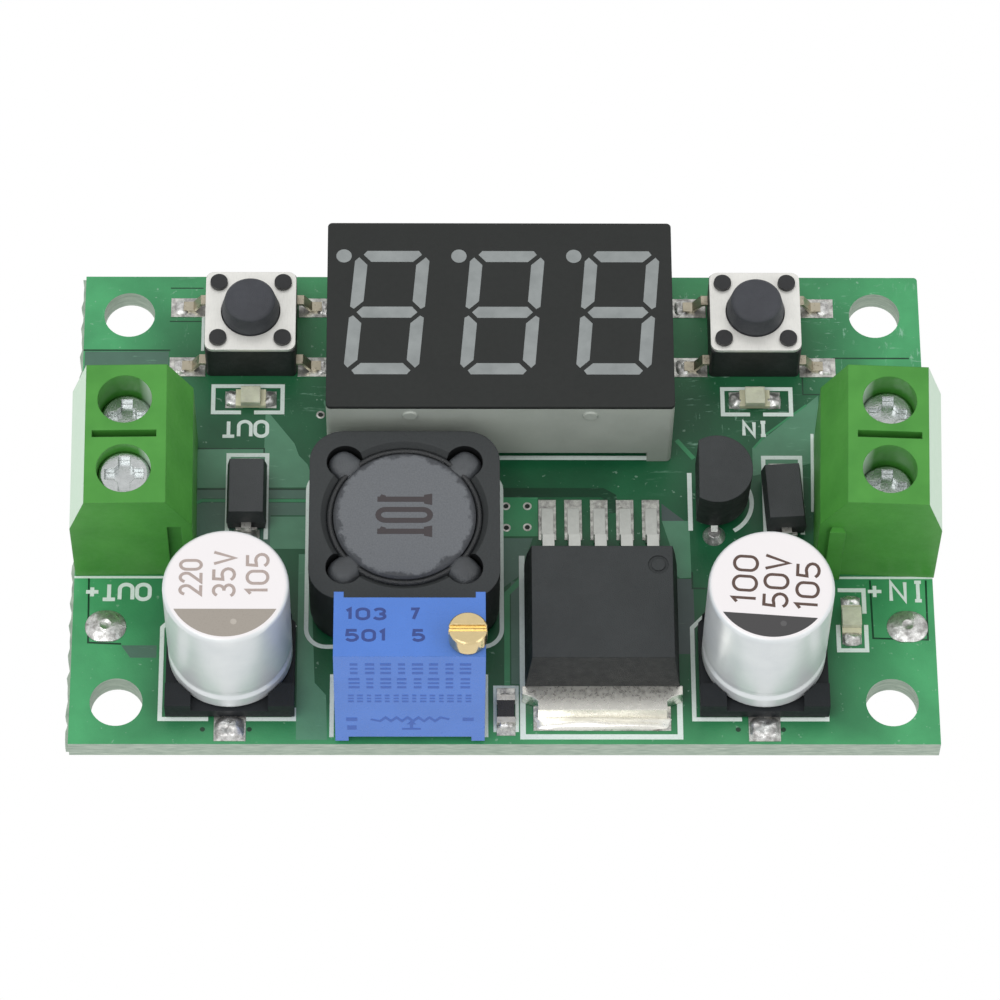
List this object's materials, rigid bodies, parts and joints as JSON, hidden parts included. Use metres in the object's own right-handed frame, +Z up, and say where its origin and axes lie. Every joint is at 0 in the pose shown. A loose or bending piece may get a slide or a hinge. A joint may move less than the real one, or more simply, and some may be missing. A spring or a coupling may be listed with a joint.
{
  "type": "buck converter module",
  "caption": "Step-down converter board with a segment display, screw terminals at both ends, push buttons, coil, capacitors and a trimmer.",
  "frame": {"origin": "middle of the board's outline, on the plane that the lead stubs under the board stand on", "axes": "+X towards the input terminal, +Y towards the display at the back, +Z up out of the board"},
  "size_m": [0.0568, 0.035, 0.015],
  "materials": {
    "board_laminate": "satin solder mask, cut edges pale",
    "solder": "bright tin, slightly rough",
    "display_shell": "satin",
    "display_black": "matt",
    "segment_grey": "frosted",
    "tinned_lead": "satin",
    "switch_black": "satin",
    "switch_plate": "satin",
    "terminal_green": "satin",
    "zinc_screw": "bright, passivated",
    "can_aluminium": "satin coated",
    "base_black": "satin",
    "ferrite": "dark grey, matt",
    "copper_winding": "enamelled copper",
    "trimmer_blue": "satin",
    "trimmer_resin": "smooth resin",
    "trimmer_brass": "turned",
    "epoxy_black": "fine matt",
    "light_base": "satin",
    "light_lens": "clear resin",
    "resistor_black": "glazed"
  },
  "bodies": {
    "board": {"circuit_board": "board_laminate", "solder_pads": "solder", "wire_pads": "solder", "solder_joints": "solder", "display_housing": "display_shell", "display_face": "display_black", "display_segments": "segment_grey", "display_pins": "tinned_lead", "out_switch_base": "switch_black", "out_switch_cover": "switch_plate", "out_switch_dome": "tinned_lead", "out_switch_legs": "tinned_lead", "in_switch_base": "switch_black", "in_switch_cover": "switch_plate", "in_switch_dome": "tinned_lead", "in_switch_legs": "tinned_lead", "out_terminal_housing": "terminal_green", "out_contact_frames": "tinned_lead", "in_terminal_housing": "terminal_green", "in_contact_frames": "tinned_lead", "output_capacitor_can": "can_aluminium", "output_capacitor_base": "base_black", "output_capacitor_leads": "tinned_lead", "input_capacitor_can": "can_aluminium", "input_capacitor_base": "base_black", "input_capacitor_leads": "tinned_lead", "inductor_shield": "ferrite", "inductor_core": "ferrite", "inductor_winding": "copper_winding", "inductor_base": "base_black", "inductor_terminals": "tinned_lead", "trimmer_housing": "trimmer_blue", "trimmer_potting": "trimmer_resin", "trimmer_pins": "tinned_lead", "regulator_body": "epoxy_black", "regulator_tab": "tinned_lead", "regulator_leads": "tinned_lead", "out_diode_body": "epoxy_black", "out_diode_leads": "tinned_lead", "in_diode_body": "epoxy_black", "in_diode_leads": "tinned_lead", "supply_regulator_body": "epoxy_black", "supply_regulator_leads": "tinned_lead", "light_bases": "light_base", "light_lenses": "light_lens", "chip_resistors": "resistor_black", "resistor_end_caps": "tinned_lead", "controller_body": "epoxy_black", "controller_leads": "tinned_lead"},
    "out_button": {"out_switch_button": "switch_black"},
    "out_back_saddle_body": {"out_back_saddle": "tinned_lead"},
    "out_back_screw_body": {"out_back_screw": "zinc_screw"},
    "out_front_saddle_body": {"out_front_saddle": "tinned_lead"},
    "out_front_screw_body": {"out_front_screw": "zinc_screw"},
    "in_button": {"in_switch_button": "switch_black"},
    "in_back_saddle_body": {"in_back_saddle": "tinned_lead"},
    "in_back_screw_body": {"in_back_screw": "zinc_screw"},
    "in_front_saddle_body": {"in_front_saddle": "tinned_lead"},
    "in_front_screw_body": {"in_front_screw": "zinc_screw"},
    "trimmer_screw_body": {"trimmer_screw": "trimmer_brass"}
  },
  "joints": [
    {"name": "out_button_press", "type": "slide", "parent": "board", "child": "out_button", "axis": [0, 0, -1], "range_m": [0, 0.00025], "stiffness_N_per_m": 5000, "deforming": ["out_switch_dome"]},
    {"name": "in_button_press", "type": "slide", "parent": "board", "child": "in_button", "axis": [0, 0, -1], "range_m": [0, 0.00025], "stiffness_N_per_m": 5000, "deforming": ["in_switch_dome"]},
    {"name": "out_back_saddle_slide", "type": "slide", "parent": "board", "child": "out_back_saddle_body", "axis": [0, 0, -1], "range_m": [-0.0017, 0.0006]},
    {"name": "out_back_screw_turn", "type": "hinge", "parent": "out_back_saddle_body", "child": "out_back_screw_body", "pos_m": [-0.02444, 0.00237, 0.0096], "axis": [0, 0, -1], "range_deg": [-1361, 481]},
    {"name": "out_front_saddle_slide", "type": "slide", "parent": "board", "child": "out_front_saddle_body", "axis": [0, 0, -1], "range_m": [-0.00015, 0.00215]},
    {"name": "out_front_screw_turn", "type": "hinge", "parent": "out_front_saddle_body", "child": "out_front_screw_body", "pos_m": [-0.02436, -0.00271, 0.01115], "axis": [0, 0, -1], "range_deg": [-121, 1721]},
    {"name": "in_back_saddle_slide", "type": "slide", "parent": "board", "child": "in_back_saddle_body", "axis": [0, 0, -1], "range_m": [-0.0012, 0.0011]},
    {"name": "in_back_screw_turn", "type": "hinge", "parent": "in_back_saddle_body", "child": "in_back_screw_body", "pos_m": [0.02478, 0.00236, 0.0101], "axis": [0, 0, -1], "range_deg": [-961, 881]},
    {"name": "in_front_saddle_slide", "type": "slide", "parent": "board", "child": "in_front_saddle_body", "axis": [0, 0, -1], "range_m": [-0.0018, 0.0005]},
    {"name": "in_front_screw_turn", "type": "hinge", "parent": "in_front_saddle_body", "child": "in_front_screw_body", "pos_m": [0.02458, -0.00272, 0.0095], "axis": [0, 0, -1], "range_deg": [-1441, 401]},
    {"name": "trimmer_screw_turn", "type": "hinge", "parent": "board", "child": "trimmer_screw_body", "pos_m": [-0.00243, -0.01528, 0.01353], "axis": [0, 0.0958, 0.9954], "continuous": true}
  ],
  "couplings": [
    {"joint": "out_back_screw_turn", "follows": "out_back_saddle_slide", "rad_per_m": 13963},
    {"joint": "out_front_screw_turn", "follows": "out_front_saddle_slide", "rad_per_m": 13963},
    {"joint": "in_back_screw_turn", "follows": "in_back_saddle_slide", "rad_per_m": 13963},
    {"joint": "in_front_screw_turn", "follows": "in_front_saddle_slide", "rad_per_m": 13963}
  ]
}
